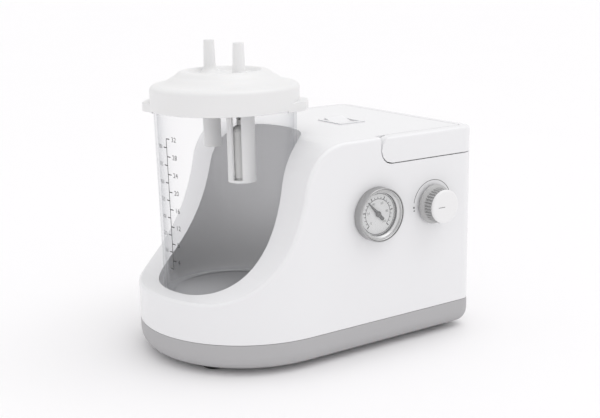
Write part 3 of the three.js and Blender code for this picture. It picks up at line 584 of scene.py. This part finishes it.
def ear(name, turn):
    """A lifting ear: a low tab that runs out of the skirt on both sides, with softened edges."""
    low, high = SKIRT_Z - 1.4, SKIRT_Z + 5.6
    root, tip = (51.6, -24), (EAR_TIP_R, -6)
    edge = [root] + bezier(root, (58, -13), (EAR_TIP_R, -13), tip, 10)
    edge += [(x, -y) for x, y in reversed(edge)]
    insets = ((0.7, low), (0.2, low + 0.2), (0, low + 0.8), (0, high - 1), (0.3, high - 0.3), (1, high))
    rows = []
    for inset, z in insets:
        rows.append([(x - inset, y * (1 - inset / 60), z) for x, y in edge])
    count = len(edge)
    inner = [[(EAR_ROOT_R, y * 0.96, row[0][2]) for x, y, _ in row] for row in (rows[0], rows[-1])]
    loops = rows + [inner[1], inner[0]]
    rotation = Matrix.Rotation(math.radians(turn), 4, "Z")
    vertices = [jar_place @ rotation @ (Vector(p) * MM) for loop in loops for p in loop]
    faces = []
    for level in range(len(loops)):
        above = (level + 1) % len(loops)
        for i in range(count - 1):
            k, up = level * count + i, above * count + i
            faces.append((k, k + 1, up + 1, up))
    for i in (0, count - 1):
        faces.append([level * count + i for level in range(len(loops))])
    placed(name, vertices, faces, LID, "lid", ("jar_lid",))


ear("lid_ear_rear", EAR_TURN)
ear("lid_ear_front", EAR_TURN - 180)

# ------------------------------------------------------------------ the float's cage

cage_low, cage_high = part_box("float_cage")
CAGE_OUTER = 10.75
CAGE_INNER = 8.7
CAGE_LEDGE = 6.4  # the radius of the hole in the ledge that keeps the float in
CAGE_STEPS = 180
CAGE_WINDOWS = 3
WINDOW_TURN = 218.9  # the middle of the first window
WINDOW_SPREAD = 42.0
LEDGE_HEIGHT = 2
CROWN_HEIGHT = 12


def is_post(i):
    """Whether a step round the cage lies on a post, and not in a window."""
    pitch = 360 / CAGE_WINDOWS
    away = ((i + 0.5) * 360 / CAGE_STEPS - WINDOW_TURN) % pitch
    return min(away, pitch - away) > WINDOW_SPREAD / 2


def cage():
    """A ring with its ledge at the bottom, posts between tall windows, and a plain crown."""
    low, high = cage_low.z / MM, cage_high.z / MM
    heights = (low, low + LEDGE_HEIGHT, high - CROWN_HEIGHT, high)
    place = connector_axis(-1)
    vertices, faces, index = [], [], {}

    def corner(i, level, radius):
        key = (i % CAGE_STEPS, level, radius)
        if key not in index:
            angle = 2 * math.pi * key[0] / CAGE_STEPS
            index[key] = len(vertices)
            point = Vector((radius * math.cos(angle), radius * math.sin(angle), heights[level]))
            vertices.append(place @ (point * MM))
        return index[key]

    def wall(i, level, radius):
        """An upright facet between two levels."""
        ends = ((i, level), (i + 1, level), (i + 1, level + 1), (i, level + 1))
        faces.append([corner(k, j, radius) for k, j in ends])

    def flat(i, level, inner, outer):
        """A level facet between two radii."""
        ends = ((i, outer), (i + 1, outer), (i + 1, inner), (i, inner))
        faces.append([corner(k, level, radius) for k, radius in ends])

    for i in range(CAGE_STEPS):
        wall(i, 0, CAGE_OUTER)
        wall(i, 0, CAGE_LEDGE)
        flat(i, 0, CAGE_LEDGE, CAGE_OUTER)
        flat(i, 1, CAGE_LEDGE, CAGE_INNER)
        wall(i, 2, CAGE_OUTER)
        wall(i, 2, CAGE_INNER)
        flat(i, 3, CAGE_INNER, CAGE_OUTER)
        if is_post(i):
            wall(i, 1, CAGE_OUTER)
            wall(i, 1, CAGE_INNER)
        else:
            flat(i, 1, CAGE_INNER, CAGE_OUTER)
            flat(i, 2, CAGE_INNER, CAGE_OUTER)
        if is_post(i) != is_post(i - 1):
            side = ((1, CAGE_OUTER), (2, CAGE_OUTER), (2, CAGE_INNER), (1, CAGE_INNER))
            faces.append([corner(i, level, radius) for level, radius in side])
    return vertices, faces


vertices, faces = cage()
placed("cage_shell", vertices, faces, LID, "lid", ("float_cage",))

# ------------------------------------------------------------------ the gauge

gauge_place = front(GAUGE_X, GAUGE_Z, WALL_Y)
BEZEL_R = (bezel_high.x - bezel_low.x) / 2 / MM
BEZEL_OUT = (WALL_Y - bezel_low.y) / MM
BEZEL_BORE = 18.5


def bezel_profile():
    """The rolled metal rim of the gauge, with a step in its front for the face ring."""
    top, wide = BEZEL_OUT, BEZEL_R
    outline = [(BEZEL_BORE, 0.3), (wide - 0.3, 0.3), (wide, 0.6), (wide, top - 1.2)]
    outline += bezier((wide, top - 1.2), (wide, top - 0.4), (wide - 0.3, top), (wide - 0.75, top), 6)
    outline += [(wide - 0.95, top - 0.1), (wide - 1.0, top - 0.9), (BEZEL_BORE, top - 0.9)]
    return outline


POST_OUT = (WALL_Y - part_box("gauge_dial")[0].y) / MM  # the post on the dial stands out this far
DIAL_EDGE = 16.7


def face_ring_profile():
    """The light ring inside the rim: it slopes in towards the dial's edge."""
    top, wide = BEZEL_OUT, BEZEL_R - 1.15
    outline = [(DIAL_EDGE, POST_OUT + 0.05), (DIAL_EDGE, POST_OUT + 0.4), (DIAL_EDGE + 0.5, POST_OUT + 0.6)]
    outline += [(wide - 0.2, top - 0.55), (wide, top - 0.7), (wide, top - 0.85)]
    outline += [(18.4, top - 0.95), (17.6, POST_OUT + 0.05)]
    return outline


def dark_line_profile():
    """A thin dark ring, in the feet's black rubber, in the step between the rim and the face ring."""
    inner, outer, root = BEZEL_R - 1.16, BEZEL_R - 0.94, BEZEL_OUT - 0.9
    return [(inner, root), (outer, root), (outer, BEZEL_OUT - 0.25), (inner, BEZEL_OUT - 0.35)]


vertices, faces = turned(bezel_profile(), GAUGE_TURN, gauge_place)
placed("bezel_rim", vertices, faces, MATERIALS["gauge_chrome"], "base", ("gauge_bezel",))
vertices, faces = turned(face_ring_profile(), GAUGE_TURN, gauge_place)
placed("bezel_face", vertices, faces, RING_FACE, "base", ("gauge_bezel",))
# a thin dark ring in the rim's step, in the feet's black rubber
vertices, faces = turned(dark_line_profile(), GAUGE_TURN, gauge_place)
placed("bezel_dark_line", vertices, faces, MATERIALS["foot_rubber"], "base")

dial_low, dial_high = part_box("gauge_dial")
DIAL_R = (dial_high.x - dial_low.x) / 2 / MM
DIAL_FACE_OUT = 2.0  # the dial's flat stands this far out of the wall; its post stands further
DIAL_SWEEP = 270
DIAL_END = -45  # the scale's right end, in degrees from the right, anticlockwise
TICKS = 21
DIVISION = 4  # every fourth mark is a long one with a number
DIAL_ARC_R = 11.6
NUMBER_R = 8.9
NUMBER_SIZE = 2.6
DIGIT_HALF = 0.75  # half the width of one digit
on_dial = lifted(gauge_place, DIAL_FACE_OUT + 0.05)


def arc_mark(vertices, faces, radius, width, start, end, steps, at):
    """Adds a flat ring or part of one, angles in degrees from the right, anticlockwise."""
    first = len(vertices)
    for i in range(steps + 1):
        angle = math.radians(start + (end - start) * i / steps)
        for r in (radius - width / 2, radius + width / 2):
            vertices.append(at(r * math.cos(angle), r * math.sin(angle)))
    for i in range(steps):
        k = first + 2 * i
        faces.append((k, k + 2, k + 3, k + 1))


def radial_mark(vertices, faces, angle, inner, outer, width, at):
    """Adds a flat mark between two radii, its angle in radians."""
    direction = Vector((math.cos(angle), math.sin(angle)))
    across = Vector((-direction.y, direction.x)) * width / 2
    start = len(vertices)
    for point in (direction * inner - across, direction * outer - across,
                  direction * outer + across, direction * inner + across):
        vertices.append(at(point.x, point.y))
    faces.append((start, start + 1, start + 2, start + 3))


def dial_print():
    """The dial's scale: an arc, its marks, and a number at each long mark."""
    vertices, faces = [], []
    start = DIAL_END + DIAL_SWEEP
    arc_mark(vertices, faces, DIAL_ARC_R, 0.5, DIAL_END, start, 80, on_dial)
    for i in range(TICKS):
        angle = math.radians(start - DIAL_SWEEP * i / (TICKS - 1))
        major = i % DIVISION == 0
        outer, width = (14.2, 0.85) if major else (13.2, 0.5)
        radial_mark(vertices, faces, angle, DIAL_ARC_R - 0.2, outer, width, on_dial)
        if major:
            text = str(20 * (i // DIVISION))
            x, y = NUMBER_R * math.cos(angle), NUMBER_R * math.sin(angle)
            numeral(vertices, faces, text, NUMBER_SIZE, x - DIGIT_HALF * len(text), y, on_dial)
    return vertices, faces


vertices, faces = dial_print()
placed("dial_scale", vertices, faces, INK, "base", shaded=False)
vertices, faces = [], []
arc_mark(vertices, faces, DIAL_R - 0.75, 0.5, 0, 360, 120, on_dial)
placed("dial_ring", vertices, faces, INK, "base", shaded=False)

NEEDLE_ANGLE = math.radians(133.5)  # at rest, from the right, anticlockwise
NEEDLE_TIP = 13.4
NEEDLE_EYE_R = 2.35
NEEDLE_TAIL = 5.6
TAIL_R = 1.35
needle_low, needle_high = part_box("gauge_needle")
NEEDLE_BACK = (WALL_Y - needle_high.y) / MM
NEEDLE_FRONT = (WALL_Y - needle_low.y) / MM


def arc(centre, radius, angles):
    """Points on an arc about a centre on the needle's own line, angles in degrees."""
    turns = [math.radians(angle) for angle in angles]
    return [(centre + radius * math.cos(a), radius * math.sin(a)) for a in turns]


def needle():
    """A tapered blade with an eye round its post and a broad round tail."""
    half = [(NEEDLE_TIP, 0.22), (2.0, 1.25)]
    half += arc(0, NEEDLE_EYE_R, range(40, 141, 20))
    half += [(-2.2, TAIL_R), (-NEEDLE_TAIL, TAIL_R)]
    half += arc(-NEEDLE_TAIL, TAIL_R, range(105, 180, 15))
    half += [(-NEEDLE_TAIL - TAIL_R, 0)]
    loop = half + [(x, -y) for x, y in reversed(half[:-1])]
    place = gauge_place @ Matrix.Rotation(NEEDLE_ANGLE, 4, "Z")
    count = len(loop)
    levels = (NEEDLE_BACK, NEEDLE_FRONT)
    vertices = [place @ (Vector((x, y, z)) * MM) for z in levels for x, y in loop]
    faces = [list(range(count)), list(range(2 * count - 1, count - 1, -1))]
    faces += [(i, (i + 1) % count, count + (i + 1) % count, count + i) for i in range(count)]
    return vertices, faces


def hub_profile():
    """The low cap over the needle's post."""
    low = NEEDLE_FRONT
    return [(0, low - 0.1), (2.1, low - 0.1), (2.1, low + 0.5), (1.7, low + 0.85), (0, low + 0.95)]


vertices, faces = needle()
placed("needle_blade", vertices, faces, NEEDLE_PAINT, "needle", ("gauge_needle",))
vertices, faces = turned(hub_profile(), HUB_TURN, gauge_place)
placed("needle_hub", vertices, faces, NEEDLE_PAINT, "needle")

# ------------------------------------------------------------------ the regulator knob

knob_place = front(KNOB_X, KNOB_Z, WALL_Y)
KNOB_OUT = (WALL_Y - cap_low.y) / MM
RIBS = 34
RIB_STEPS = 8


def knob_skin():
    """The knob: a smooth flared foot, then a grip of fine ribs, and the seat of its cap."""
    # radius, height and depth of the ribs there
    levels = [(9, 2.2, 0), (14.9, 2.2, 0), (15.35, 2.35, 0), (15.6, 2.8, 0), (15.6, 3.4, 0), (15.3, 4.1, 0),
              (14.7, 4.9, 0), (14.1, 5.4, 0), (13.75, 5.8, 0), (13.6, 6.1, 0.4), (13.55, 6.4, 1.5),
              (13.5, 12.7, 1.5), (13.4, 13.0, 0.9), (12.9, 13.2, 0.3), (9, 13.2, 0)]
    around = RIBS * RIB_STEPS
    vertices, faces = [], []
    for radius, height, depth in levels:
        for i in range(around):
            angle = 2 * math.pi * i / around
            wave = math.cos(angle * RIBS)
            cut = depth * (0.5 - 0.5 * max(-1, min(1, 1.8 * wave)))
            r = radius - cut
            vertices.append(knob_place @ (Vector((r * math.cos(angle), r * math.sin(angle), height)) * MM))
    count = len(levels)
    for j in range(count):
        for i in range(around):
            k = (i + 1) % around
            up = (j + 1) % count
            faces.append((j * around + i, j * around + k, up * around + k, up * around + i))
    return vertices, faces


vertices, faces = knob_skin()
placed("knob_grip", vertices, faces, MATERIALS["grip_grey"], "knob", ("regulator_knob",))

CAP_R = (cap_high.x - cap_low.x) / 2 / MM
CAP_SEAT = 13.5
POINTER_LEFT, POINTER_RIGHT, POINTER_W = -7.5, -1.0, 0.5


def cap_profile():
    """The cap in section: its rounded edge and its faintly dished face."""
    edge, face = (CAP_R, CAP_SEAT + 0.7), (CAP_R - 1.8, KNOB_OUT - 0.1)
    outline = [(0, CAP_SEAT), (CAP_R - 0.5, CAP_SEAT), (CAP_R - 0.1, CAP_SEAT + 0.3), edge]
    outline += bezier(edge, (CAP_R - 0.1, 15.2), (CAP_R - 0.7, 15.75), face, 6)
    outline += [(CAP_R - 4, KNOB_OUT), (0, KNOB_OUT - 0.08)]
    return outline


vertices, faces = turned(cap_profile(), CAP_TURN, knob_place)
placed("knob_face", vertices, faces, MATERIALS["housing_white"], "knob", ("knob_cap",))

vertices, faces = [], []
on_cap = lifted(knob_place, KNOB_OUT + 0.03)
strip(vertices, faces, POINTER_LEFT, POINTER_RIGHT, -POINTER_W / 2, POINTER_W / 2, 1, on_cap)
placed("knob_pointer", vertices, faces, PALE_INK, "knob", shaded=False)

FLOW_R = 18.8
DOT_SIDES = 14
on_wall = lifted(knob_place, 0.04)


def flow_print():
    """The thin printed line round the knob, from two dots at its lower left to the right."""
    vertices, faces = [], []
    arc_mark(vertices, faces, FLOW_R, 0.55, 18, 172, 70, on_wall)
    for angle, size in ((183, 0.9), (191, 0.7)):
        turn = math.radians(angle)
        start = len(vertices)
        for k in range(DOT_SIDES):
            t = 2 * math.pi * k / DOT_SIDES
            x = FLOW_R * math.cos(turn) + size * math.cos(t)
            z = FLOW_R * math.sin(turn) + size * math.sin(t)
            vertices.append(on_wall(x, z))
        faces.append(list(range(start, start + DOT_SIDES)))
    return vertices, faces


vertices, faces = flow_print()
placed("flow_arc", vertices, faces, PALE_INK, "base", shaded=False)

# ------------------------------------------------------------------ floor, light and camera


FLOOR_HALF = 40.0
PAPER_DARK, PAPER_LIGHT = (0.935, 0.928, 0.935), (0.945, 0.938, 0.945)
SKY_COLOUR, SKY_STRENGTH = (1.0, 0.995, 1.0), 0.86
KEY_WAY = (0.3, -0.22, 1.0)
KEY_STRENGTH = 0.75
KEY_SPREAD = 50
CAMERA_PLACE = Vector((-0.4308, -0.6753, 0.2931))
CAMERA_YAW = 0.582
CAMERA_PITCH = 0.236
CAMERA_ROLL = -0.0196
CAMERA_LENS = 60.77


def floor():
    """A wide sheet of pale paper."""
    material, tree, shader = fresh("paper_floor")
    paper = noise(tree, PAPER_CELLS, 2)
    link(tree, blended(tree, paper, PAPER_DARK, PAPER_LIGHT), shader.inputs["Base Color"])
    shader.inputs["Roughness"].default_value = 0.6
    shader.inputs["Specular IOR Level"].default_value = 0.25
    sides = ((-1, -1), (1, -1), (1, 1), (-1, 1))
    mesh = bpy.data.meshes.new("floor")
    mesh.from_pydata([(x * FLOOR_HALF, y * FLOOR_HALF, 0) for x, y in sides], [], [(0, 1, 2, 3)])
    mesh.materials.append(material)
    made = bpy.data.objects.new("floor", mesh)
    bpy.context.scene.collection.objects.link(made)


def sky():
    """Even light from all round, the same as the white background."""
    world = bpy.data.worlds.new("studio")
    bpy.context.scene.world = world
    world.use_nodes = True
    background = world.node_tree.nodes["Background"]
    background.inputs["Color"].default_value = (*SKY_COLOUR, 1)
    background.inputs["Strength"].default_value = SKY_STRENGTH


def broad_light(name, way, strength, spread):
    """A large far softbox: way points to it, and spread is its width in degrees as seen from here."""
    data = bpy.data.lights.new(name, "SUN")
    data.energy = strength
    data.angle = math.radians(spread)
    lamp = bpy.data.objects.new(name, data)
    bpy.context.scene.collection.objects.link(lamp)
    lamp.rotation_euler = (-Vector(way)).to_track_quat("-Z", "Y").to_euler()


def camera():
    """The camera, from its place and its three turns."""
    flat = math.cos(CAMERA_PITCH)
    forward = Vector((math.sin(CAMERA_YAW) * flat, math.cos(CAMERA_YAW) * flat, -math.sin(CAMERA_PITCH)))
    level = Vector((math.cos(CAMERA_YAW), -math.sin(CAMERA_YAW), 0))
    upward = level.cross(forward)
    right = level * math.cos(CAMERA_ROLL) + upward * math.sin(CAMERA_ROLL)
    above = upward * math.cos(CAMERA_ROLL) - level * math.sin(CAMERA_ROLL)
    data = bpy.data.cameras.new("camera")
    data.lens = CAMERA_LENS
    data.sensor_width = 36
    data.clip_end = 50
    made = bpy.data.objects.new("camera", data)
    bpy.context.scene.collection.objects.link(made)
    made.matrix_world = Matrix((right, above, -forward)).transposed().to_4x4()
    made.location = CAMERA_PLACE
    bpy.context.scene.camera = made


floor()
sky()
broad_light("key", KEY_WAY, KEY_STRENGTH, KEY_SPREAD)
camera()
bpy.context.scene.view_settings.view_transform = "Standard"
